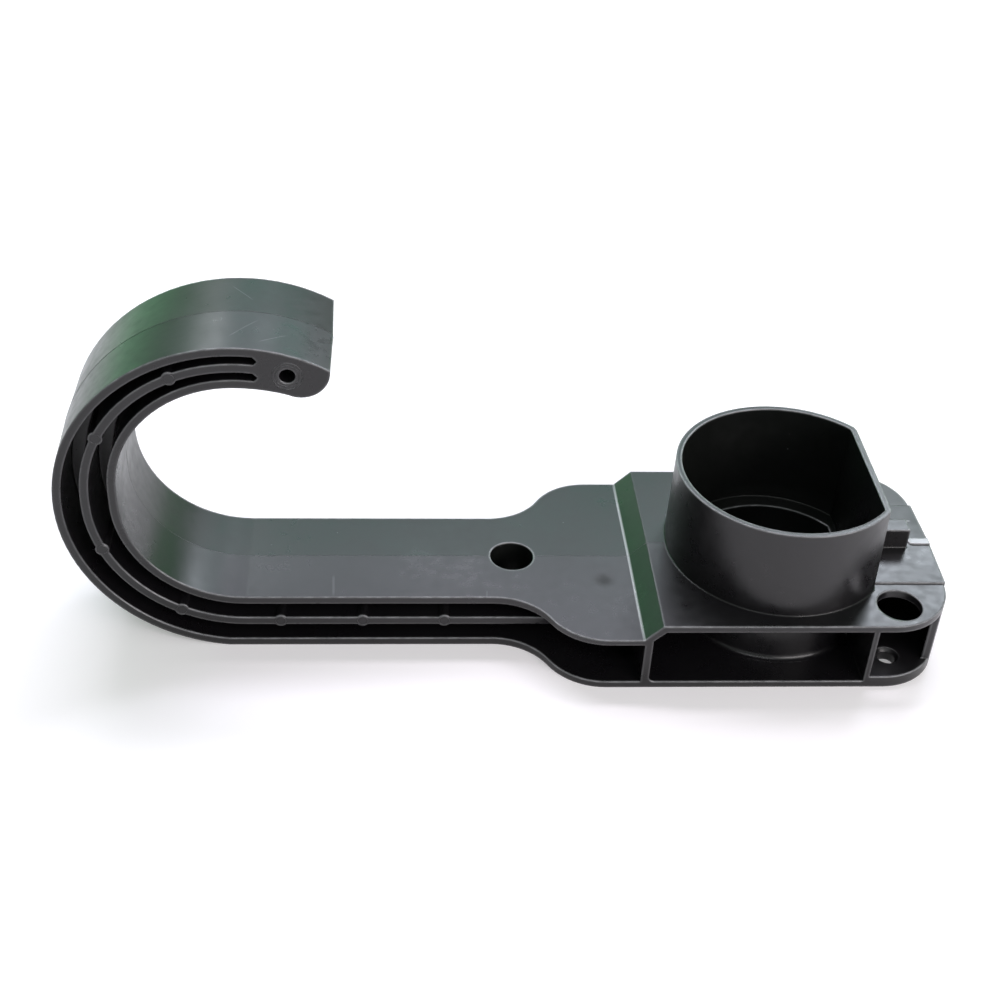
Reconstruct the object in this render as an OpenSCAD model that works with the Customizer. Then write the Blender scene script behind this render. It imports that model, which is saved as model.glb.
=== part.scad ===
// Wall holder for a charging cable, one moulded piece lying on its back.
// X runs along the length towards the cup, Z stands out of the wall, and the
// parting plane of the two mould halves is Y = 0. The origin is on the back
// face, under the middle of the cup.

/* [Beam] */
// Width of the hook, the neck and the middle of the plate
beam_w = 36.4; // [32:0.2:42]
// Thickness of the neck and of the low end of the plate
neck_t = 18; // [16:0.5:20]
// Wall thickness at the open edges of the beam
wall = 2.3; // [1.9:0.1:2.7]
// Thickness of the rib along the middle of the beam, at its open edge
rib_t = 2.4; // [1.8:0.1:3]
// Thickness of the web on the parting plane
web_t = 2.4; // [1.8:0.1:3.2]
// Draft of the faces that leave the two mould halves, in mm per mm
lean = 0.0175; // [0.009:0.0005:0.025]

/* [Hook] */
// Distance from the middle of the cup to the middle of the hook
hook_reach = 152.5; // [145:0.5:165]
// Outer radius of the hook
hook_r = 50; // [48:0.5:53]
// Height of the hook's outer centre above the back face
hook_z = 49.4; // [48:0.1:50]
// Radius of the throat that the cable coil hangs in
throat_r = 32.2; // [30:0.2:33]
// Straight rise between the lower and the upper bend of the throat
throat_lift = 4.6; // [3:0.1:6]
// How far the tip ends past the middle of the hook
tip_reach = 25.1; // [23:0.1:27]
// Radius of the hollow under the tip, which meets the throat at its top
tip_under_r = 50; // [46:1:56]
// Radius of the rounded nose under the tip
nose_r = 7.8; // [7.2:0.1:8.2]
// Length of the solid tip, from the end of the pockets
tip_solid = 18.8; // [17:0.1:20]
// Bore through the tip
tip_hole_d = 4.2; // [3:0.1:5]
// Distance from the end of the tip to its bore
tip_hole_in = 11.2; // [10:0.1:12]
// Broken corners at the ends of the tip's pockets
tip_corner = 1; // [0.6:0.1:1.1]

/* [Plate] */
// Width of the plate
plate_w = 72.4; // [68:0.2:80]
// Thickness of the raised end of the plate
plate_t = 23; // [22:0.5:25]
// Thickness of its front and back skins at their open edges
skin_t = 2; // [1.6:0.1:2.6]
// Distance from the middle of the cup to the end of the plate
end_reach = 45.8; // [44:0.2:50]
// Radius of the plate's outline where it widens and at its end corners
outline_r = 18; // [16:0.5:18]
// Distance from the middle of the cup to where the plate starts to widen
widen_reach = 82.8; // [80:0.5:86]
// Distance from the middle of the cup to the foot of the step
step_reach = 42.4; // [41:0.2:44]
// Length of the step between the low and the raised plate
step_run = 5; // [4:0.5:7]
// Distance from the foot of the step to the rib under it
front_rib_gap = 0.4; // [0.2:0.1:1]
// Thickness of the rib under the step
front_rib_t = 2.2; // [1.8:0.1:3]
// Distance from the middle of the cup to the rib at the end bay
end_rib_reach = 21.2; // [20.6:0.1:21.8]
// Thickness of the rib at the end bay
end_rib_t = 1.5; // [1.3:0.1:2]
// Floor thickness of the end bay, where the two screws sit
end_floor_t = 3.6; // [3:0.1:4.5]
// End wall thickness
end_wall_t = 1.8; // [1.5:0.1:2.4]
// Distance from the middle line to where the end wall stops
end_wall_stop = 28.6; // [26:0.2:30]
// How much the middle band behind the cup stands proud
band_rise = 0.45; // [0.2:0.05:0.8]
// Radius in the lower corner of the side bays, beside the rib under the step
bay_r = 1.7; // [1.2:0.1:2.2]

/* [Cup] */
// Outer radius of the cup at its rim
cup_r = 31.5; // [31:0.1:32]
// Distance from the middle of the cup to its flat side, at the rim
cup_flat = 24.3; // [23.5:0.1:25]
// Height of the cup above the raised plate
cup_rise = 27; // [20:1:40]
// Wall thickness of the cup at its rim
cup_wall = 1.6; // [1.4:0.1:2]
// Outer radius of the two upright corners beside the flat side
cup_corner_r = 5.5; // [4:0.5:7]
// Height of the ledge in the cup above the back face
ledge_z = 18.3; // [17:0.1:19]
// Thickness of the ledge
ledge_t = 1.6; // [1.4:0.1:2.4]
// Radius of the recess under the ledge
recess_r = 24.4; // [22:0.2:25]
// Distance from the middle of the cup to the flat side of the recess
recess_flat = 20; // [18:0.1:21]
// Wall thickness of the tube round the recess
tube_wall = 2.6; // [2:0.1:3]
// Radius at the foot of the tube
tube_foot_r = 1.5; // [1:0.1:2]
// Width of the tab behind the flat side
tab_w = 5.4; // [4:0.2:7]
// Length of the tab behind the flat side
tab_run = 14.1; // [11:0.1:15]
// Height of the tab above the raised plate
tab_rise = 6.85; // [5:0.05:9]

/* [Screws] */
// Distance from the middle of the cup to the screw in the neck
neck_screw_reach = 76.6; // [70:0.2:80]
// Distance from the middle of the cup to the pair of end screws
end_screw_x = 30; // [29.6:0.1:31]
// Distance between the two end screws
end_screw_pitch = 54.6; // [53:0.2:55]
// Opening in the front skin for the screwdriver
access_d = 12.6; // [11:0.2:13]
// Screw hole in the back skin
screw_d = 5; // [4:0.1:5.6]
// Countersink of the screw holes
screw_head_d = 6.8; // [6:0.1:8]
// Wall thickness of the tower round the neck screw
tower_wall = 2; // [1.6:0.1:2.4]

/* [Marks] */
// Diameter of the round pads that the ejector pins push on
pad_d = 3.8; // [3.2:0.1:4.4]
// Distance from the middle of the hook to the first pad of the neck
pad_lead = 9.5; // [8:0.1:11]
// Spacing of the pads along the neck
pad_pitch = 23.2; // [21:0.1:24]
// Length of the trimmed gate mark on the end of the band
gate_run = 6.3; // [4:0.1:7]
// Width of the trimmed gate mark
gate_w = 2.7; // [1.6:0.1:3.4]
// Height of the trimmed gate mark
gate_rise = 0.4; // [0.2:0.05:0.6]

/* [Hidden] */
$fn = 120;
half_beam = beam_w / 2;
half_plate = plate_w / 2;
// The draft as an angle, and what it adds over half the beam
draft = atan(lean);
lean_beam = lean * half_beam;
// A length that reaches past the whole part, to either side and upwards
past = 60;
// How far the small cuts reach past the faces that they open
cut = 1;
hook_x = -hook_reach;
hook_top = hook_z + hook_r;
far_x = 60;
throat_z = neck_t + throat_r;
// Radii of the channel between the walls of the hook, on the parting plane
channel_out_r = hook_r - wall - 2 * lean_beam;
channel_in_r = throat_r + wall + 2 * lean_beam;
floor_z = skin_t + lean * half_plate;
rib_line_r = (hook_r + throat_r) / 2;
rib_line_z = neck_t / 2 + rib_line_r;
rib_half = rib_t / 2 + lean_beam;
rib_line_lift = hook_top / 2 + (throat_z + throat_lift + throat_r) / 2 - rib_line_r - rib_line_z;
// The pockets of the arm at the tip are concentric with the hook's outer face
arm_top = throat_z + throat_lift + throat_r;
arm_in_r = arm_top - hook_z;
arm_line_r = (hook_r + arm_in_r) / 2;
arm_channel_r = arm_in_r + wall + 2 * lean_beam;
tip_under_z = arm_top - tip_under_r;
tip_x = hook_x + tip_reach;
nose_x = tip_x - nose_r;
nose_dip = 0.1;
nose_lap = nose_r / 5;
nose_z = tip_under_z + sqrt(pow(tip_under_r + nose_r - nose_dip, 2) - pow(nose_x - hook_x, 2));
pocket_end_x = tip_x - tip_solid;
tip_hole_x = tip_x - tip_hole_in;
tip_hole_z = hook_z + sqrt(pow(arm_line_r, 2) - pow(tip_hole_x - hook_x, 2));
// Outline of the plate, two arcs of the same radius to each side
widen_turn = acos(1 - (half_plate - half_beam) / 2 / outline_r);
widen_x = -widen_reach;
wide_x = widen_x + 2 * outline_r * sin(widen_turn);
mid_x = wide_x - outline_r * sin(widen_turn);
mid_y = half_plate - outline_r * (1 - cos(widen_turn));
corner_x = end_reach - lean_beam - band_rise - outline_r;
corner_y = half_plate - outline_r;
step_x = -step_reach;
deck_x = step_x + step_run;
step_rise = plate_t - neck_t;
step_turn = atan(step_rise / step_run);
// Underside of the skins on the parting plane
neck_ceiling = neck_t - wall - 2 * lean_beam;
deck_ceiling = plate_t - skin_t - 2 * lean * half_plate;
front_rib_x = step_x + front_rib_gap;
bay_start_x = front_rib_x + front_rib_t;
bay_step_x = step_x + wall * tan(step_turn / 2);
ceiling_rise = deck_ceiling - neck_ceiling;
end_bay_x = end_rib_reach + end_rib_t;
end_floor_z = end_floor_t + lean * half_plate;
// The cup
rim_z = plate_t + cup_rise;
// The corners of the D reach past its cone by this much
d_cross = 0.3;
inner_r = cup_r - cup_wall;
inner_flat = cup_flat - cup_wall;
inner_corner_r = cup_corner_r - cup_wall;
cup_foot_z = ledge_z - ledge_t;
tube_r = recess_r + tube_wall;
foot_z = floor_z - lean * tube_r + tube_foot_r;
neck_screw_x = -neck_screw_reach;
sink_t = (screw_head_d - screw_d) / 2;
// Angles of the pads round the bend of the hook, from the bottom, in degrees
pad_turns = [26, 68, 118, 157];
pad_first_x = hook_x + pad_lead;

// Keeps the children on one side of the parting plane and mirrors them
module both_halves(gap = 0) {
    for (side = [0, 1]) mirror([0, side, 0]) intersection() {
        translate([-past * 5, gap, -past]) cube([past * 10, past, past * 5]);
        children();
    }
}

// A prism along X from x0 to x1, z0 to z1 high on the parting plane; its lower
// and its upper face rise by these slopes towards the open side
module prism(x0, x1, z0, z1, rise0, rise1) {
    translate([x0, 0, 0]) rotate([90, 0, 90]) linear_extrude(x1 - x0)
        polygon([[0, z0], [past, z0 + rise0 * past], [past, z1 + rise1 * past], [0, z1]]);
}

// All that lies behind the slope of the step; the slope passes through x and z
// and sinks towards the open side with the draft, or rises where turn is below 0
module behind_step(x, z, rise, turn) {
    rotate([-turn, 0, 0]) translate([0, past, 0]) rotate([90, 0, 0]) linear_extrude(2 * past)
        polygon([[x - step_run, z - rise], [x + 2 * step_run, z + 2 * rise],
            [far_x + past, z + 2 * rise], [far_x + past, z - rise]]);
}

// A drafted round about an axis along Y
module drafted_round(x, z, r, grow) {
    translate([x, 0, z]) rotate([-90, 0, 0])
        cylinder(h = past, r1 = r, r2 = r + grow * lean * past);
}

// A round bend with a straight rise; grow is 1 where it widens outwards
module bend(z, r, lift, grow) {
    drafted_round(hook_x, z, r, grow);
    drafted_round(hook_x, z + lift, r, grow);
    translate([hook_x, 0, z]) linear_extrude(lift)
        polygon([[-r, 0], [r, 0], [r + grow * lean * past, past], [-r - grow * lean * past, past]]);
}

// Everything above a floor that sinks towards the open side
module above_floor(thick) {
    prism(hook_x - past, far_x, thick, hook_top, -lean, 0);
}

// Outline of the whole part, seen from the front
module outline() {
    difference() {
        union() {
            translate([hook_x - past, -half_beam]) square([past - hook_x, beam_w]);
            translate([widen_x, -half_plate]) square([corner_x - widen_x, plate_w]);
            translate([corner_x, -corner_y]) square([outline_r, 2 * corner_y]);
            for (side = [-1, 1]) translate([corner_x, side * corner_y]) circle(outline_r);
            end_band();
        }
        for (side = [-1, 1]) scale([1, side]) waist_cut();
    }
}

// Half of the middle band's outline at the end of the plate
module end_band() {
    polygon([[0, -half_beam], [end_reach - lean_beam, -half_beam], [end_reach, 0],
        [end_reach - lean_beam, half_beam], [0, half_beam]]);
}

// What the widening leaves out on one side, beside a hollow and a round arc
module waist_cut() {
    difference() {
        translate([widen_x - past, half_beam]) square([wide_x - widen_x + past, past]);
        translate([wide_x, corner_y]) circle(outline_r);
        translate([mid_x, half_beam]) square([past, mid_y - half_beam]);
        difference() {
            translate([widen_x, half_beam]) square([mid_x - widen_x, mid_y - half_beam]);
            translate([widen_x, half_beam + outline_r]) circle(outline_r);
        }
    }
}

// The hook and neck as one solid strip, before the pockets
module strip_blank() {
    difference() {
        intersection() {
            drafted_round(hook_x, hook_z, hook_r, -1);
            translate([hook_x - past, -past, 0]) cube([past, past * 3, past * 3]);
        }
        bend(throat_z, throat_r, throat_lift, 1);
    }
    prism(hook_x, far_x, 0, neck_t, 0, -lean);
    intersection() {
        drafted_round(hook_x, hook_z, hook_r, -1);
        tip_blank();
    }
}

// The tip: an arm with a hollow underside that ends in a rounded nose
module tip_blank() {
    difference() {
        translate([hook_x, -past, throat_z]) cube([nose_x - nose_lap - hook_x, past * 3, past]);
        drafted_round(hook_x, tip_under_z, tip_under_r, 1);
    }
    drafted_round(nose_x, nose_z, nose_r, -1);
}

// The raised deck behind the step
module deck_blank() {
    intersection() {
        prism(step_x - step_run, far_x, 0, plate_t, 0, -lean);
        behind_step(step_x, neck_t, step_rise, draft);
    }
}

// The pockets of the hook, the neck and the low plate, with the rib left in;
// the three parts of each pocket meet on the plane where the hook's bend ends
module beam_pockets() {
    intersection() {
        difference() {
            drafted_round(hook_x, hook_z, channel_out_r, 1);
            bend(throat_z, channel_in_r, throat_lift, -1);
            rib_bend();
        }
        above_floor(floor_z);
        translate([hook_x - past, -past, 0]) cube([past, past * 3, hook_top]);
    }
    intersection() {
        difference() {
            drafted_round(hook_x, hook_z, channel_out_r, 1);
            drafted_round(hook_x, hook_z, arm_channel_r, -1);
            tip_rib();
        }
        union() {
            pocket_end(arm_in_r + wall + lean_beam, arm_line_r - rib_t / 2);
            pocket_end(arm_line_r + rib_t / 2, hook_r - wall - lean_beam);
        }
    }
    intersection() {
        difference() {
            prism(hook_x, far_x, floor_z, neck_ceiling, -lean, lean);
            flat_rib();
        }
        linear_extrude(throat_z) polygon([[hook_x, 0], [front_rib_x - lean * half_plate, 0],
            [front_rib_x + lean * (past - half_plate), past], [hook_x, past]]);
    }
}

// Limits one of the tip's two pockets, which lies between these radii at its
// open side, and breaks the two corners at its end
module pocket_end(r0, r1) {
    run = pocket_end_x - hook_x;
    z0 = hook_z + sqrt(pow(r0, 2) - pow(run, 2));
    z1 = hook_z + sqrt(pow(r1, 2) - pow(run, 2));
    translate([pocket_end_x, past, 0]) rotate([90, 0, 0]) linear_extrude(past)
        polygon([[-run, z0 - tip_corner], [-2 * tip_corner, z0 - tip_corner], [0, z0 + tip_corner],
            [0, z1 - tip_corner], [-2 * tip_corner, z1 + tip_corner], [-run, z1 + tip_corner]]);
}

// The rib that follows the middle of the strip, round the hook's bend
module rib_bend() {
    intersection() {
        difference() {
            bend(rib_line_z, rib_line_r + rib_half, rib_line_lift, -1);
            bend(rib_line_z, rib_line_r - rib_half, rib_line_lift, 1);
        }
        rib_edge();
    }
}

// The same rib in the arm at the tip
module tip_rib() {
    intersection() {
        difference() {
            drafted_round(hook_x, hook_z, arm_line_r + rib_half, -1);
            drafted_round(hook_x, hook_z, arm_line_r - rib_half, 1);
        }
        rib_edge();
    }
}

// The same rib in the neck, up to the rib under the step
module flat_rib() {
    intersection() {
        prism(hook_x, far_x, neck_t / 2 - rib_half, neck_t / 2 + rib_half, lean, -lean);
        rib_edge();
    }
}

// The rib ends flush with the sides of the beam
module rib_edge() {
    translate([hook_x - past, -past, 0]) cube([far_x - hook_x + past, past + half_beam, hook_top]);
}

// The room under the low skin, the step and the raised skin
module bay_room() {
    prism(front_rib_x, far_x, 0, neck_ceiling, 0, lean);
    intersection() {
        prism(front_rib_x, far_x, 0, deck_ceiling, 0, lean);
        behind_step(bay_step_x, neck_ceiling, ceiling_rise, -draft);
    }
}

// The side bays of the plate, one each side of the rib at the cup
module plate_bays() {
    intersection() {
        bay_room();
        union() {
            difference() {
                intersection() {
                    above_floor(floor_z);
                    bay_plan(bay_start_x, end_rib_reach);
                }
                bay_corner();
            }
            intersection() {
                above_floor(end_floor_z);
                linear_extrude(plate_t) end_bay_plan();
            }
        }
    }
}

// The round in the lower corner of a side bay, full size at the open side
module bay_corner() {
    arc = [for (turn = [0 : 18 : 90]) [bay_r * (1 - cos(turn)), bay_r * (1 - sin(turn))]];
    translate([bay_start_x, past, skin_t]) rotate([90, 0, 0]) linear_extrude(past)
        polygon(concat([[-bay_r, -bay_r], [-bay_r, bay_r + cut], [-cut * tan(9), bay_r + cut]], arc,
            [[bay_r + cut, -cut * tan(9)], [bay_r + cut, -bay_r]]));
}

// Plan of a bay whose two ends open outwards by the draft
module bay_plan(start, end) {
    linear_extrude(plate_t) polygon([[start + lean * half_plate, 0], [end - lean * half_plate, 0],
        [end + lean * (past - half_plate), past], [start - lean * (past - half_plate), past]]);
}

// Plan of the end bay, which opens sideways past the end of its wall
module end_bay_plan() {
    intersection() {
        polygon([[end_bay_x + lean * half_plate, 0], [far_x, 0], [far_x, past],
            [end_bay_x - lean * (past - half_plate), past]]);
        union() {
            translate([0, 0]) square([corner_x, past]);
            translate([0, 0]) square([corner_x + outline_r - end_wall_t, corner_y]);
            translate([corner_x, corner_y]) circle(outline_r - end_wall_t);
            translate([0, end_wall_stop]) square([far_x, past]);
        }
    }
}

// Plan of a D with round corners beside its flat side, open to the left; the
// corners reach a little past the radius, so that they cross the cone
module d_plan(r, flat, corner_r) {
    turn = acos((flat - corner_r) / (r + d_cross - corner_r));
    corner_y = (r + d_cross - corner_r) * sin(turn);
    for (side = [0, 1]) mirror([0, side]) {
        polygon([[-past, 0], [flat, 0], [flat, corner_y], [flat - corner_r, corner_y],
            [past * cos(turn), past * sin(turn)], [-past, past]]);
        translate([flat - corner_r, corner_y]) circle(corner_r);
    }
}

// A D-shaped cone; slope is 1 where it widens downwards, -1 upwards
module d_cone(z0, z1, r, flat, corner_r, slope) {
    tall = z1 - z0;
    intersection() {
        translate([0, 0, z0]) cylinder(h = tall, r1 = r + slope * lean * tall, r2 = r);
        translate([flat, 0, z1]) rotate([0, -slope * draft, 0]) translate([-flat, 0, -2 * tall])
            linear_extrude(3 * tall) d_plan(r, flat, corner_r);
    }
}

// The cup above its ledge and the tube under it
module cup_walls() {
    d_cone(cup_foot_z, rim_z, cup_r, cup_flat, cup_corner_r, 1);
    intersection() {
        rotate_extrude() {
            square([tube_r, cup_foot_z + ledge_t / 2]);
            difference() {
                square([tube_r + tube_foot_r, foot_z]);
                translate([tube_r + tube_foot_r, foot_z]) circle(tube_foot_r);
            }
        }
        translate([-past, -past, 0]) cube([past + recess_flat + tube_wall, past * 2, past]);
    }
}

// The hollow of the cup: the D down to the ledge, then the round recess
module cup_hollow() {
    d_cone(ledge_z, rim_z + cut, inner_r + lean * cut, inner_flat + lean * cut, inner_corner_r, -1);
    intersection() {
        translate([0, 0, floor_z])
            cylinder(h = ledge_z - floor_z + cut, r1 = recess_r - lean * (ledge_z - floor_z),
                r2 = recess_r + lean * cut);
        translate([-past, -past, 0]) cube([past + recess_flat, past * 2, past]);
    }
}

// The tab behind the flat side and the band it stands on
module tab_and_band() {
    intersection() {
        both_halves() prism(inner_flat, far_x, 0, plate_t + band_rise, 0, -lean);
        translate([0, 0, plate_t - skin_t]) linear_extrude(past) end_band();
    }
    translate([cup_flat - cup_wall / 2, -tab_w / 2, plate_t - skin_t])
        cube([tab_run + cup_wall / 2, tab_w, tab_rise + skin_t]);
    translate([0, 0, plate_t - skin_t]) linear_extrude(skin_t + band_rise + gate_rise) intersection() {
        union() {
            translate([end_reach - gate_run + gate_w / 2, -gate_w / 2]) square([gate_run, gate_w]);
            translate([end_reach - gate_run + gate_w / 2, 0]) circle(gate_w / 2);
        }
        end_band();
    }
}

// Round pads on the rib, on the side that the ejector pins push
module ejector_pads() {
    for (i = [0 : 2]) pad(pad_first_x + i * pad_pitch, neck_t / 2);
    for (turn = pad_turns) pad(hook_x - rib_line_r * sin(turn),
        rib_line_z - rib_line_r * cos(turn) + (turn > 90 ? rib_line_lift : 0));
}

module pad(x, z) {
    translate([x, 0, z]) rotate([90, 0, 0]) cylinder(h = half_beam, d = pad_d);
}

// The screw hole with its countersink, in a floor of this thickness
module screw_hole(thick) {
    translate([0, 0, -cut]) cylinder(h = thick + 2 * cut, d = screw_d);
    translate([0, 0, thick - sink_t]) cylinder(h = sink_t, d1 = screw_d, d2 = screw_head_d);
    translate([0, 0, thick]) cylinder(h = cut, d = screw_head_d);
}

module holder() color([0.13, 0.13, 0.135]) {
    difference() {
        union() {
            intersection() {
                difference() {
                    both_halves() union() {
                        strip_blank();
                        deck_blank();
                    }
                    both_halves(web_t / 2) beam_pockets();
                    both_halves(web_t / 2) plate_bays();
                }
                linear_extrude(past * 3) outline();
            }
            cup_walls();
            tab_and_band();
            ejector_pads();
            translate([neck_screw_x, 0, 0]) cylinder(h = neck_t - wall / 2, d = access_d + 2 * tower_wall);
        }
        cup_hollow();
        translate([neck_screw_x, 0, end_floor_t]) cylinder(h = neck_t, d = access_d);
        translate([neck_screw_x, 0, 0]) screw_hole(end_floor_t);
        for (side = [-1, 1]) translate([end_screw_x, side * end_screw_pitch / 2, 0]) {
            translate([0, 0, plate_t / 2]) cylinder(h = plate_t, d = access_d);
            screw_hole(end_floor_z - lean * end_screw_pitch / 2);
        }
        translate([tip_hole_x, -past, tip_hole_z]) rotate([-90, 0, 0]) cylinder(h = past * 2, d = tip_hole_d);
    }
}

holder();
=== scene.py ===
# %% [markdown]
# # A wall holder for a charging cable
#
# The object is one injection-moulded piece of near-black plastic: a wide
# hook for the coiled cable, a ribbed neck, a plate that is screwed to the
# wall, and a D-shaped cup that the connector is plugged into. It lies on its
# flat back. The CAD model already is the real form, with its draft, ribs, web
# and pockets. The lesson dresses it: it adds the small marks that a mould
# leaves, and builds one plastic with the rounding, the polish and the wear
# that the photograph shows.

# %% Load the packed model
import bmesh
import bpy
import math
from mathutils import Matrix, Vector


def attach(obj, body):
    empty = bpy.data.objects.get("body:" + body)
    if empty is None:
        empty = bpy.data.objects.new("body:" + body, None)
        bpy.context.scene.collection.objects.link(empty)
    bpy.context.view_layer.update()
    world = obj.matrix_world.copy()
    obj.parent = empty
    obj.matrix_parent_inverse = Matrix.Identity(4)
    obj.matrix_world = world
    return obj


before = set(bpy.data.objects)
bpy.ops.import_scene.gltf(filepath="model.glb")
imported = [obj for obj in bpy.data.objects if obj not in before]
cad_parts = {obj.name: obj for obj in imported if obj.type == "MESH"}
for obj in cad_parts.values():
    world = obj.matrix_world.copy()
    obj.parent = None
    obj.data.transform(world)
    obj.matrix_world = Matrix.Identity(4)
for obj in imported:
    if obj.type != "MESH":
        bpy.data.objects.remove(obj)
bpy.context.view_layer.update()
MM = 0.001

# %% [markdown]
# ## Camera
#
# A camera was fitted to the photograph by matching the straight edges and the
# circles of the part. Its place and its three angles are set here. The lens
# follows from the distance at which the outline grows with depth as it does
# in the photograph, and a small shift puts the middle of the view where the
# photograph has it.

# %% Place the camera
PHOTO_SIDE = 1000
FOCAL_PX = 1554.502
MIDDLE_PX = (452.934, 476.811)
EYE_MM = (-115.256, -351.960, 302.935)
PITCH, YAW, ROLL = (math.radians(a) for a in (36.032, 3.357, -2.179))


def view_axes(pitch, yaw, roll):
    """Right, down and forward directions of the camera."""
    forward = Vector((math.sin(yaw) * math.cos(pitch), math.cos(yaw) * math.cos(pitch), -math.sin(pitch)))
    level = Vector((math.cos(yaw), -math.sin(yaw), 0))
    below = forward.cross(level)
    right = math.cos(roll) * level + math.sin(roll) * below
    down = math.cos(roll) * below - math.sin(roll) * level
    return right, down, forward


right, down, forward = view_axes(PITCH, YAW, ROLL)
camera = bpy.data.objects.new("camera", bpy.data.cameras.new("camera"))
bpy.context.scene.collection.objects.link(camera)
camera_turn = Matrix((right, -down, -forward)).transposed().to_4x4()
camera.matrix_world = Matrix.Translation(Vector(EYE_MM) * MM) @ camera_turn
camera.data.sensor_width = 36
camera.data.lens = FOCAL_PX * camera.data.sensor_width / PHOTO_SIDE
camera.data.shift_x = (PHOTO_SIDE / 2 - MIDDLE_PX[0]) / PHOTO_SIDE
camera.data.shift_y = (MIDDLE_PX[1] - PHOTO_SIDE / 2) / PHOTO_SIDE
camera.data.clip_start = 0.01
bpy.context.scene.camera = camera
print("lens", round(camera.data.lens, 2), "shift", round(camera.data.shift_x, 4), round(camera.data.shift_y, 4))

# %% [markdown]
# ## Writing shaders as sums
#
# A shader tree is a sum of many small nodes. A class that wraps one socket
# and knows what + - * / mean lets the lesson write the tree as plain
# arithmetic, and each sign adds the Math node that does it. Everything else,
# such as a noise or a bevel, comes from one method that makes any node. The
# same class serves the Geometry Nodes further on.

# %% A socket that can be added and multiplied


class Sig:
    """One output socket of a node tree, with arithmetic."""

    def __init__(self, tree, socket):
        self.tree, self.socket = tree, socket

    def node(self, kind, settings=None, out=0, **inputs):
        """Adds a node: its type, its settings first, then its sockets' values or links.

        A socket is named with _ for a space, or as i and its number where two share a name.
        """
        made = self.tree.nodes.new(kind)
        for name, value in (settings or {}).items():
            setattr(made, name, value)
        for name, value in inputs.items():
            key = int(name[1:]) if name[0] == "i" and name[1:].isdigit() else name.replace("_", " ")
            if isinstance(value, Sig):
                self.tree.links.new(value.socket, made.inputs[key])
            else:
                made.inputs[key].default_value = value
        return Sig(self.tree, made.outputs[out])

    def math(self, operation, *values):
        named = {f"i{i}": v for i, v in enumerate(values)}
        return self.node("ShaderNodeMath", {"operation": operation}, **named)

    def vector(self, operation, out=0, **inputs):
        return self.node("ShaderNodeVectorMath", {"operation": operation}, out, i0=self, **inputs)

    def __add__(self, other):
        return self.math("ADD", self, other)

    def __sub__(self, other):
        return self.math("SUBTRACT", self, other)

    def __mul__(self, other):
        return self.math("MULTIPLY", self, other)

    def __truediv__(self, other):
        return self.math("DIVIDE", self, other)

    def __rsub__(self, other):
        return self.math("SUBTRACT", other, self)

    __radd__ = __add__
    __rmul__ = __mul__

    def size(self):
        return self.math("ABSOLUTE", self)

    def larger(self, other):
        return self.math("MAXIMUM", self, other)

    def root(self):
        return self.math("SQRT", self)

    def fade(self, start, end):
        """1 at start, falling smoothly to 0 at end, whichever of the two is larger."""
        return self.node("ShaderNodeMapRange", {"interpolation_type": "SMOOTHSTEP"},
                         i0=self, i1=start, i2=end, i3=1.0, i4=0.0)

    def tinted(self, dark, light, clamped=True):
        """The colour between two colours that this value chooses, or beyond them where it isn't clamped."""
        return self.node("ShaderNodeMix", {"data_type": "RGBA", "clamp_factor": clamped}, out=2,
                         i0=self, i6=dark, i7=light)


print("a Sig wraps a socket and knows", len([n for n in vars(Sig) if not n.startswith("__")]), "named methods")

# %% [markdown]
# ## The plastic's ground
#
# The real part is satin black plastic, whose gloss changes a little from
# place to place where the melt cooled unevenly. Its colour is almost black, so
# nearly all that the eye sees is reflected light. That is why the roughness
# and the normal matter more here than the colour. All patterns are measured in
# millimetres of the part itself, so the Object coordinates are scaled up once.

# %% Measure places on the part
plastic = bpy.data.materials.new("black_plastic")
plastic.use_nodes = True
tree = plastic.node_tree
shader = tree.nodes["Principled BSDF"]
object_place = Sig(tree, tree.nodes.new("ShaderNodeTexCoord").outputs["Object"])
spot = object_place.vector("SCALE", Scale=1 / MM)
axes = spot.node("ShaderNodeSeparateXYZ", i0=spot)
x, y, z = (Sig(tree, axes.socket.node.outputs[i]) for i in range(3))
true_normal = Sig(tree, tree.nodes.new("ShaderNodeNewGeometry").outputs["Normal"])
print("places are read in millimetres")

# %% Clouds in the gloss and a fine grain


def noise(place, per_mm, detail):
    """A soft noise between 0 and 1, with this many waves to a millimetre."""
    return place.node("ShaderNodeTexNoise", {"noise_dimensions": "3D"}, Vector=place, Scale=per_mm, Detail=detail)


clouds = noise(spot, 0.045, 3.0)
mottle = noise(spot, 0.35, 1.0)
grain = noise(spot, 1.0, 1.0)
print("noises:", [n.name for n in tree.nodes if n.bl_idname == "ShaderNodeTexNoise"])

# %% [markdown]
# ## Rounded edges
#
# No edge of a moulding is sharp, and the thin bright lines along the rim, the
# step and the flanges come from those small radii, and in part from a painted
# highlight. The Bevel node turns the normal near each edge as a real radius
# would. The outer edges are also made smoother by handling, and lighter in
# colour: partly wear, partly a painted highlight that is strongest on edges
# that turn upwards to the lamps. An Ambient Occlusion node that looks into the
# plastic finds those outer edges: from a point beside an outer edge the next
# face is close by inside, while beside an inner corner it isn't.

# %% Round the edges, and find the outer ones for wear and a painted highlight
EDGE_ROUND, LOOK_INSIDE = 0.9, 0.8
RAYS = 8
rounded = true_normal.node("ShaderNodeBevel", {"samples": RAYS}, Radius=EDGE_ROUND * MM)
room_inside = true_normal.node("ShaderNodeAmbientOcclusion", {"samples": RAYS, "inside": True, "only_local": True},
                               out=1, Distance=LOOK_INSIDE * MM)
edge = room_inside.fade(0.6, 0.93)
turned_up = Sig(tree, rounded.node("ShaderNodeSeparateXYZ", i0=rounded).socket.node.outputs[2])
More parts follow.
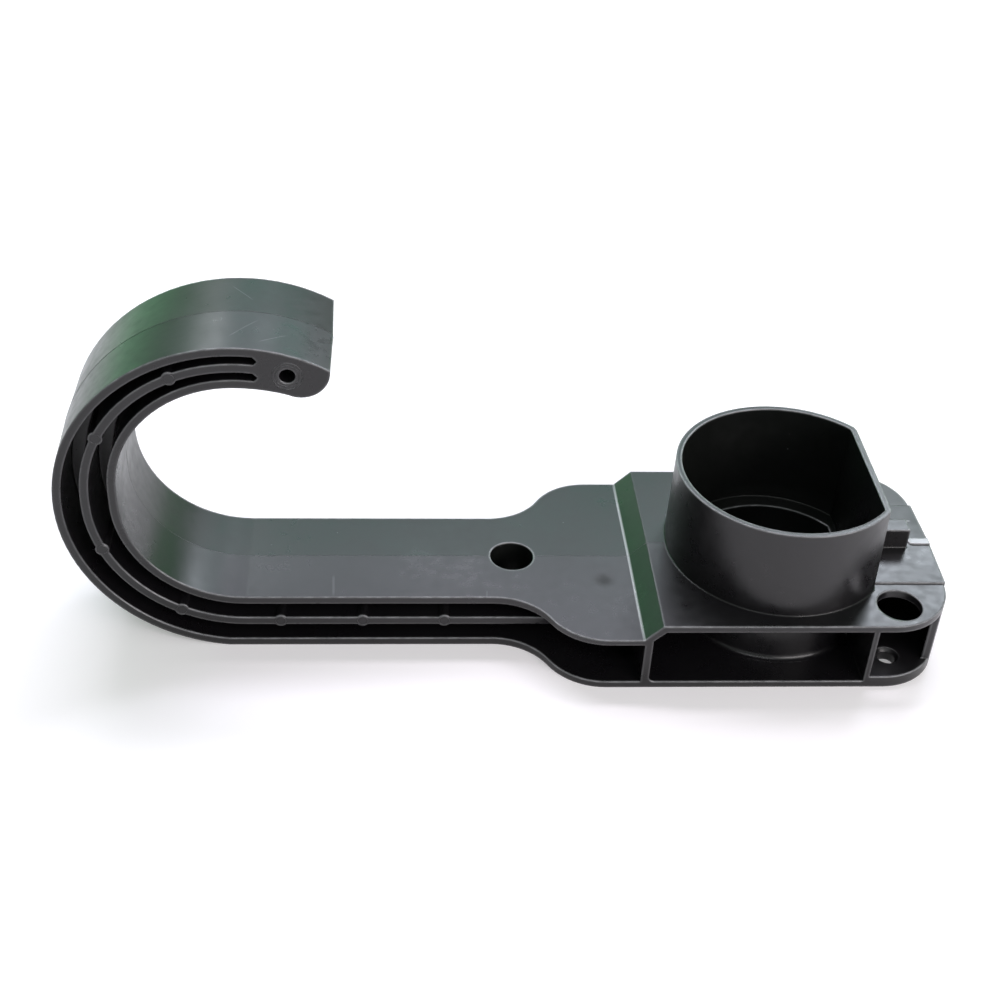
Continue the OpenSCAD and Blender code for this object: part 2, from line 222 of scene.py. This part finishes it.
# Outer edges get a lighter colour, for wear and as a painted highlight; edges turned upwards get more of it, as if
# lit by the lamps above.
upward_painted_highlight = 1.25 - turned_up.fade(0.1, 0.8)
rubbed_and_highlit = edge * upward_painted_highlight * (0.7 + mottle.fade(0.65, 0.35) * 0.3)
print("edges are rounded by", EDGE_ROUND, "mm")

# %% [markdown]
# ## Marks of the mould and of handling, and painted highlights
#
# Hair scratches cross the hook and the neck, the surface carries some light
# specks, and the melt has sunk in a little over a thick place of the low plate.
# Three bright lines are painted highlights: a strip at the end of the deck by
# the gate, where the melt came in, a thin line on the deck beside it, and the
# foot of the step. Each could be painted as a picture, but a mark that is
# worked out from its distance to a point or a line stays sharp at any size, so
# every one of them is a short sum of fades.

# %% Find the faces that carry the marks
LOW_TOP, DECK_TOP, HOOK_TOP = 18.0, 23.0, 99.4
on_low_top = z.fade(LOW_TOP + 1, LOW_TOP + 2) * z.fade(LOW_TOP - 0.6, LOW_TOP - 1)
on_hook_top = z.fade(HOOK_TOP - 9.4, HOOK_TOP - 13.4)
print("marked faces lie at", LOW_TOP, DECK_TOP, "and", HOOK_TOP, "mm")

# %% Specks
SPECKS_PER_MM = 0.16
cells = spot.node("ShaderNodeTexVoronoi", {"feature": "F1"}, Vector=spot, Scale=SPECKS_PER_MM)
specks = cells.fade(0.02, 0.05) * noise(spot, SPECKS_PER_MM, 0.0).fade(0.66, 0.6)
print("specks lie about", round(1 / SPECKS_PER_MM), "mm apart, where the noise lets them")

# %% Single scratches seen on the hook and the neck


def stroke(start, end, wide):
    """A thin straight scratch between two points in X and Y, fading to its ends."""
    run = (end[0] - start[0], end[1] - start[1])
    length = math.hypot(*run)
    along = ((x - start[0]) * run[0] + (y - start[1]) * run[1]) / length
    across = ((y - start[1]) * run[0] - (x - start[0]) * run[1]) / length
    middle = (along - length / 2).size().fade(length * 0.3, length * 0.55)
    return across.size().fade(wide * 0.3, wide) * middle


HOOK_STROKES = [((-154.4, 13.6), (-148.3, 6.0), 0.16),
                ((-153.4, -12.3), (-146.5, -3.9), 0.18),
                ((-145.9, -14.2), (-138.6, -8.6), 0.14)]
NECK_STROKES = [((-128.2, -8.5), (-128, -17.8), 0.5),
                ((-84.6, -15.2), (-84.8, -18.6), 0.22)]
single = (sum(stroke(*s) for s in HOOK_STROKES) * on_hook_top
          + sum(stroke(*s) for s in NECK_STROKES) * on_low_top * 0.5)
print("single scratches:", len(HOOK_STROKES + NECK_STROKES))

# %% Sink mark, painted highlights at the gate, on the deck and at the foot of the step, and the ring at the tip
SINK_AT, BORE_AT = (-50.7, -10.6), (-138.6, 90.94)
STEP_FOOT_X, GATE_HIGHLIGHT_X, DECK_LINE_Y = -42.4, 39.8, 10.3


def distance_from(centre, across, along):
    """How far a place lies from a centre, in the plane of two of its axes, in millimetres."""
    side, rise = across - centre[0], along - centre[1]
    return (side * side + rise * rise).root()


sink = distance_from(SINK_AT, x, y).fade(0.3, 4.2) * on_low_top
# A painted highlight: a bright strip along the middle of the deck top, at its far end.
gate_painted_highlight = y.size().fade(1.0, 1.4) * x.fade(GATE_HIGHLIGHT_X, GATE_HIGHLIGHT_X - 1) * z.fade(DECK_TOP + 0.5, DECK_TOP)
# A painted highlight: a bright line along the foot of the step.
step_foot_painted_highlight = ((x - STEP_FOOT_X).size().fade(0.1, 0.5)
             * z.fade(LOW_TOP + 0.5, LOW_TOP + 0.9) * z.fade(LOW_TOP - 0.4, LOW_TOP - 0.8))
# A painted highlight: a thin bright line on the deck top near its end, to the rear of the middle.
deck_line_painted_highlight = ((y - DECK_LINE_Y).size().fade(0.2, 0.5)
         * x.fade(36, 35) * x.fade(42.5, 43.5) * z.fade(DECK_TOP + 0.2, DECK_TOP - 0.2))
from_bore = distance_from(BORE_AT, x, z)
tip_rub = from_bore.fade(3.9, 4.2) * (1 - from_bore.fade(2.5, 2.8))
print("gate, sink mark and tip ring are placed")

# %% [markdown]
# ## One finish from all of them
#
# The two mould halves meet on the plane Y = 0, and the rear half came from a
# slightly duller mould, so it is a little rougher. The colour of the two halves
# also carries a painted reflection: a trace of green on the rear half and of
# purple on the front. The marks share one lighter colour, mixed in by the sum
# of their strengths, and so do the painted highlights on the edges and lines.
# The clouds go into the gloss and into a very low bump, whose height is in
# millimetres, and the bump starts from the rounded normal, so both act together.

# %% Join the plastic
# The two halves' colours hold a painted reflection: green on the rear half, purple on the front.
REAR_PAINTED_GREEN, FRONT_PAINTED_PURPLE = (0.0054, 0.0060, 0.0056, 1), (0.0060, 0.0054, 0.0064, 1)
# One light colour for wear and for the painted highlights.
WEAR_AND_HIGHLIGHT_TONE = (0.3, 0.3, 0.315, 1)
SATIN = 0.31
front = y.fade(-0.05, 0.05)
halves_with_painted_reflection = front.tinted(REAR_PAINTED_GREEN, FRONT_PAINTED_PURPLE)
# The lighter colour mixes real wear, scratches and specks with painted highlights on the edges, the step foot, the
# gate and the deck line.
wear_and_painted_highlights = (rubbed_and_highlit * 0.75 + step_foot_painted_highlight * 1.3 + single * 0.25 + specks * 0.4 + gate_painted_highlight * 1.3
        + deck_line_painted_highlight * 0.6 + tip_rub * 0.03 + (clouds - 0.5) * 0.006).larger(-0.004)
colour = wear_and_painted_highlights.tinted(halves_with_painted_reflection, WEAR_AND_HIGHLIGHT_TONE, clamped=False)
rough = (SATIN + (clouds - 0.5) * 0.2 + (mottle - 0.5) * 0.16 - rubbed_and_highlit * 0.08
         + sink * 0.3 + (1 - front) * 0.02)
height = grain * 0.008 + mottle * 0.012 + clouds * 0.05 - sink * 0.04 - single * 0.004
bumped = height.node("ShaderNodeBump", Height=height * MM, Distance=1.0, Strength=1.0, Normal=rounded)
tree.links.new(colour.socket, shader.inputs["Base Color"])
tree.links.new(rough.socket, shader.inputs["Roughness"])
tree.links.new(bumped.socket, shader.inputs["Normal"])
shader.inputs["IOR"].default_value = 1.5

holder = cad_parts["holder"]
for slot in holder.material_slots:
    slot.material = plastic
print("plastic has", len(tree.nodes), "nodes; slots:", [s.material.name for s in holder.material_slots])

# %% [markdown]
# ## Pieces that follow a rule
#
# Two kinds of mark stand proud of the moulding. The mould's ejector pins leave
# a fine ring on each round pad of the rib, and the two mould halves leave a
# hair-thin seam all along the middle of the outer faces. Both follow the same
# arcs as the hook, so Geometry Nodes grow them from points and from a path. A
# helper builds the tree, gives its inputs names and turns the result into a
# plain mesh, because the export keeps no instances.

# %% A helper that grows a piece from a node tree


def grown(name, base_mesh, build, sizes):
    """A plain mesh piece, grown by a node tree from the points or edges of a mesh."""
    grove = bpy.data.node_groups.new(name, "GeometryNodeTree")
    grove.interface.new_socket("Geometry", in_out="INPUT", socket_type="NodeSocketGeometry")
    named = {n: grove.interface.new_socket(n, in_out="INPUT", socket_type="NodeSocketFloat") for n in sizes}
    grove.interface.new_socket("Geometry", in_out="OUTPUT", socket_type="NodeSocketGeometry")
    inlet, outlet = grove.nodes.new("NodeGroupInput"), grove.nodes.new("NodeGroupOutput")
    made = build(Sig(grove, inlet.outputs[0]), {n: Sig(grove, inlet.outputs[n]) for n in sizes})
    real = made.node("GeometryNodeRealizeInstances", i0=made)
    last = real.node("GeometryNodeSetMaterial", Geometry=real, Material=plastic)
    grove.links.new(last.socket, outlet.inputs[0])
    seed_object = bpy.data.objects.new(name + "_seed", base_mesh)
    bpy.context.scene.collection.objects.link(seed_object)
    modifier = seed_object.modifiers.new(name, "NODES")
    modifier.node_group = grove
    for n, socket in named.items():
        modifier[socket.identifier] = sizes[n]
    mesh = bpy.data.meshes.new_from_object(seed_object.evaluated_get(bpy.context.evaluated_depsgraph_get()))
    bpy.data.objects.remove(seed_object)
    turn_outwards(mesh)
    piece = bpy.data.objects.new(name, mesh)
    bpy.context.scene.collection.objects.link(piece)
    return piece


def turn_outwards(mesh):
    """Makes the faces of closed shells point outwards and shades them smooth."""
    skin = bmesh.new()
    skin.from_mesh(mesh)
    bmesh.ops.recalc_face_normals(skin, faces=skin.faces)
    skin.to_mesh(mesh)
    skin.free()
    for face in mesh.polygons:
        face.use_smooth = True


def triangles(piece):
    """How many triangles a piece has."""
    return sum(len(face.vertices) - 2 for face in piece.data.polygons)


print("grown() makes a piece from a tree")

# %% The hook's own measures, in millimetres
HOOK_X, HOOK_Z, HOOK_R = -152.5, 49.4, 50.0
THROAT_R, THROAT_Z, THROAT_LIFT = 32.2, 50.2, 4.6
NECK_TOP, HALF_BEAM = 18.0, 18.2
RIB_R = (HOOK_R + THROAT_R) / 2
RIB_Z, RIB_LIFT = NECK_TOP / 2 + RIB_R, 2.0
TIP_X, TIP_UNDER_R, NOSE_R = -127.4, 50.0, 7.8
TIP_UNDER_Z = THROAT_Z + THROAT_LIFT + THROAT_R - TIP_UNDER_R
print("rib line radius", RIB_R, "tip underside centre at z", TIP_UNDER_Z)

# %% Place a ring on every ejector pad and two round the tip's bore
PAD_TURNS = (26, 68, 118, 157)
NECK_PADS, FIRST_PAD, PAD_PITCH = 3, 9.5, 23.2
PAD_RING_R, BORE_RING_RS = 1.45, (3.05, 3.9)
pads = [(HOOK_X + FIRST_PAD + PAD_PITCH * i, NECK_TOP / 2) for i in range(NECK_PADS)]
pads += [(HOOK_X - RIB_R * math.sin(math.radians(t)),
          RIB_Z - RIB_R * math.cos(math.radians(t)) + (RIB_LIFT if t > 90 else 0)) for t in PAD_TURNS]
rings = [(*pad, PAD_RING_R) for pad in pads] + [(*BORE_AT, r) for r in BORE_RING_RS]
ring_points = bpy.data.meshes.new("ring points")
ring_points.from_pydata([(px * MM, -HALF_BEAM * MM, pz * MM) for px, pz, _ in rings], [], [])
ring_points.attributes.new("ring_size", "FLOAT", "POINT").data.foreach_set("value", [r for *_, r in rings])
print("ring places, mm:", [(round(px, 1), round(pz, 1)) for px, pz, _ in rings])

# %% Grow the rings


def ring_build(points, size):
    """A thin raised ring on every point, as wide as the point's own size says."""
    hoop = points.node("GeometryNodeCurvePrimitiveCircle", {"mode": "RADIUS"}, Resolution=48, Radius=MM)
    wire = points.node("GeometryNodeCurvePrimitiveCircle", {"mode": "RADIUS"}, Resolution=6,
                       Radius=size["Wire Radius"])
    ring = points.node("GeometryNodeCurveToMesh", Curve=hoop, Profile_Curve=wire)
    own = points.node("GeometryNodeInputNamedAttribute", {"data_type": "FLOAT"}, Name="ring_size")
    wide = points.node("ShaderNodeCombineXYZ", X=own, Y=own, Z=size["Flatness"])
    return points.node("GeometryNodeInstanceOnPoints", Points=points, Instance=ring,
                       Rotation=(math.radians(90), 0, 0), Scale=wide)


pin_rings = grown("pin_rings", ring_points, ring_build, {"Wire Radius": 0.05 * MM, "Flatness": 0.8})
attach(pin_rings, "root")
print("rings:", len(rings), "triangles:", triangles(pin_rings))

# %% [markdown]
# ## The seam
#
# The seam runs where the mould halves closed: over the outside of the hook,
# round the nose of its tip, back through the throat, and along the neck and
# the plate up to the cup. It could be a thin bump in the material, but a bead
# swept along a path also catches the light from the side. The path is made of
# the same arcs that the CAD model is drawn with.

# %% The path of the seam


def arc(cx, cz, r, start, end, steps):
    """Points on an arc in X and Z; angles run from straight up, towards +X."""
    turns = [math.radians(start + (end - start) * i / steps) for i in range(steps + 1)]
    return [(cx + r * math.sin(t), cz + r * math.cos(t)) for t in turns]


nose_x = TIP_X - NOSE_R
nose_z = TIP_UNDER_Z + math.sqrt((TIP_UNDER_R + NOSE_R - 0.1) ** 2 - (nose_x - HOOK_X) ** 2)
tip_turn = math.degrees(math.asin((TIP_X - HOOK_X) / HOOK_R))
foot_turn = -180 + math.degrees(math.asin(math.sqrt(HOOK_R ** 2 - HOOK_Z ** 2) / HOOK_R))
nose_turn = math.degrees(math.atan2(nose_x - HOOK_X, nose_z - TIP_UNDER_Z))
outer_path = arc(HOOK_X, HOOK_Z, HOOK_R, tip_turn, foot_turn, 120)
nose_path = arc(nose_x, nose_z, NOSE_R, 92, 180 + nose_turn, 24)
under_path = arc(HOOK_X, TIP_UNDER_Z, TIP_UNDER_R, nose_turn, 0, 20)
throat_path = (arc(HOOK_X, THROAT_Z + THROAT_LIFT, THROAT_R, -1, -90, 50)
               + arc(HOOK_X, THROAT_Z, THROAT_R, -90, -180, 50))
neck_path = [(-84, NECK_TOP)]
plate_path = [(-69, NECK_TOP), (STEP_FOOT_X, NECK_TOP), (-37.4, DECK_TOP), (-32.2, DECK_TOP)]
paths = [outer_path, nose_path + under_path + throat_path + neck_path, plate_path]
print("seam runs in", len(paths), "lines over", sum(map(len, paths)), "points")

# %% Grow the seam along its path
seam_lines = bpy.data.meshes.new("seam lines")
corners, links = [], []
for path in paths:
    links += [(len(corners) + i, len(corners) + i + 1) for i in range(len(path) - 1)]
    corners += [(px * MM, 0, pz * MM) for px, pz in path]
seam_lines.from_pydata(corners, links, [])


def seam_build(lines, size):
    """A fine bead swept along every line."""
    route = lines.node("GeometryNodeMeshToCurve", i0=lines)
    bead = lines.node("GeometryNodeCurvePrimitiveCircle", {"mode": "RADIUS"}, Resolution=8,
                      Radius=size["Bead Radius"])
    return lines.node("GeometryNodeCurveToMesh", Curve=route, Profile_Curve=bead, Fill_Caps=True)


seam = grown("parting_seam", seam_lines, seam_build, {"Bead Radius": 0.045 * MM})
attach(seam, "root")
print("seam triangles:", triangles(seam))

# %% [markdown]
# ## Floor and background
#
# The photograph is a cut-out on white. A pale floor under the part keeps its
# contact shadow. It gives off a little light of its own, only towards the
# camera and into reflections, and more so further out, so that it turns white
# behind the part without a single extra lamp on the object. The floor's colour
# leans a trace away from green, because the light from the sides is greenish.

# %% Lay the floor
REACH = 3.0
NEAR_LIFT, FAR_LIFT = 0.2, 0.55
floor_mesh = bpy.data.meshes.new("floor")
floor_corners = [(-REACH, -REACH, 0), (REACH, -REACH, 0), (REACH, REACH, 0), (-REACH, REACH, 0)]
floor_mesh.from_pydata(floor_corners, [], [(0, 1, 2, 3)])
floor = bpy.data.objects.new("floor", floor_mesh)
floor.location.z = -0.02 * MM
bpy.context.scene.collection.objects.link(floor)
floor_finish = bpy.data.materials.new("floor")
floor_finish.use_nodes = True
floor_tree = floor_finish.node_tree
floor_shader = floor_tree.nodes["Principled BSDF"]
floor_shader.inputs["Base Color"].default_value = (0.89, 0.84, 0.875, 1)
floor_shader.inputs["Roughness"].default_value = 0.9
ray_kinds = floor_tree.nodes.new("ShaderNodeLightPath").outputs
seen = sum(Sig(floor_tree, ray_kinds[k]) for k in ("Is Camera Ray", "Is Glossy Ray", "Is Transmission Ray"))
floor_place = Sig(floor_tree, floor_tree.nodes.new("ShaderNodeTexCoord").outputs["Object"])
far = 1 - floor_place.vector("LENGTH", out=1).fade(0.4, 1.6)
lift = seen * (far * FAR_LIFT + NEAR_LIFT)
floor_tree.links.new(lift.socket, floor_shader.inputs["Emission Color"])
floor_shader.inputs["Emission Strength"].default_value = 1.0
floor.data.materials.append(floor_finish)
print("floor laid at z =", floor.location.z)

# %% [markdown]
# ## Light
#
# On black plastic a lamp is seen rather than felt: each face mirrors one part
# of the room. Working back from the tones of the faces gave the brightness of
# the room in each of those directions, and the table below hangs one wide soft
# lamp there. A pale window behind makes the tops grey, a bright panel lights
# the end of the plate, dark green low down gives the hook and the step their
# colour, and the lamps in front and overhead light the sides and the floor.

# %% Hang the lamps
AIM_MM = Vector((-78, 0, 30))


def soft_lamp(name, azimuth, height, distance, size_mm, glow):
    """A rectangular lamp that faces the part.

    Azimuth runs from +Y towards +X, and glow is its red, green and blue radiance.
    """
    a, h = math.radians(azimuth), math.radians(height)
    away = Vector((math.sin(a) * math.cos(h), math.cos(a) * math.cos(h), math.sin(h)))
    lamp = bpy.data.objects.new(name, bpy.data.lights.new(name, "AREA"))
    lamp.data.shape = "RECTANGLE"
    lamp.data.size, lamp.data.size_y = size_mm[0] * MM, size_mm[1] * MM
    brightest = max(glow)
    lamp.data.energy = brightest * math.pi * lamp.data.size * lamp.data.size_y
    lamp.data.color = [g / brightest for g in glow]
    lamp.location = (AIM_MM + away * distance) * MM
    lamp.rotation_euler = (-away).to_track_quat("-Z", "Y").to_euler()
    bpy.context.scene.collection.objects.link(lamp)
    return lamp


# name, azimuth and height in degrees, distance and size in millimetres, radiance
LAMPS = [("window behind", 0, 49, 1000, (900, 360), (2.4, 2.15, 2.7)),
         ("window sill", 2, 33, 1000, (500, 200), (0.4, 1.2, 0.95)),
         ("window left", -30, 42, 1000, (400, 500), (0.6, 1.1, 0.85)),
         ("window right", 25, 40, 1000, (340, 260), (0.6, 0.9, 0.8)),
         ("bright panel", 34, 38, 1000, (220, 220), (10.5, 11.3, 12.4)),
         ("window pane", -22, 38, 1000, (170, 90), (9.5, 9.2, 10)),
         ("window gap", 3, 39, 980, (90, 90), (4.5, 4.4, 4.8)),
         ("green card left", -44, 9, 1000, (1150, 320), (0.18, 0.85, 0.34)),
         ("green card right", 50, 13, 1000, (900, 400), (0.05, 0.45, 0.12)),
         ("front fill", 140, 22, 1100, (800, 450), (6.6, 6.2, 6.3)),
         ("ceiling strip front", 188, 52, 1100, (600, 120), (6, 6, 6.3)),
         ("ceiling strip", 0, 68, 1100, (1000, 150), (10, 9.8, 10.6))]
lamps = [soft_lamp(*row) for row in LAMPS]
print("lamps:", [(lamp.name, round(lamp.data.energy, 1)) for lamp in lamps])

# %% Light the rest of the room
world = bpy.data.worlds.new("studio")
bpy.context.scene.world = world
world.use_nodes = True
sky = world.node_tree.nodes["Background"]
sky.inputs["Color"].default_value = (0.88, 1, 0.92, 1)
sky.inputs["Strength"].default_value = 0.36
bpy.context.scene.view_settings.view_transform = "Standard"
print("room light:", [round(v, 2) for v in sky.inputs["Color"].default_value[:3]])
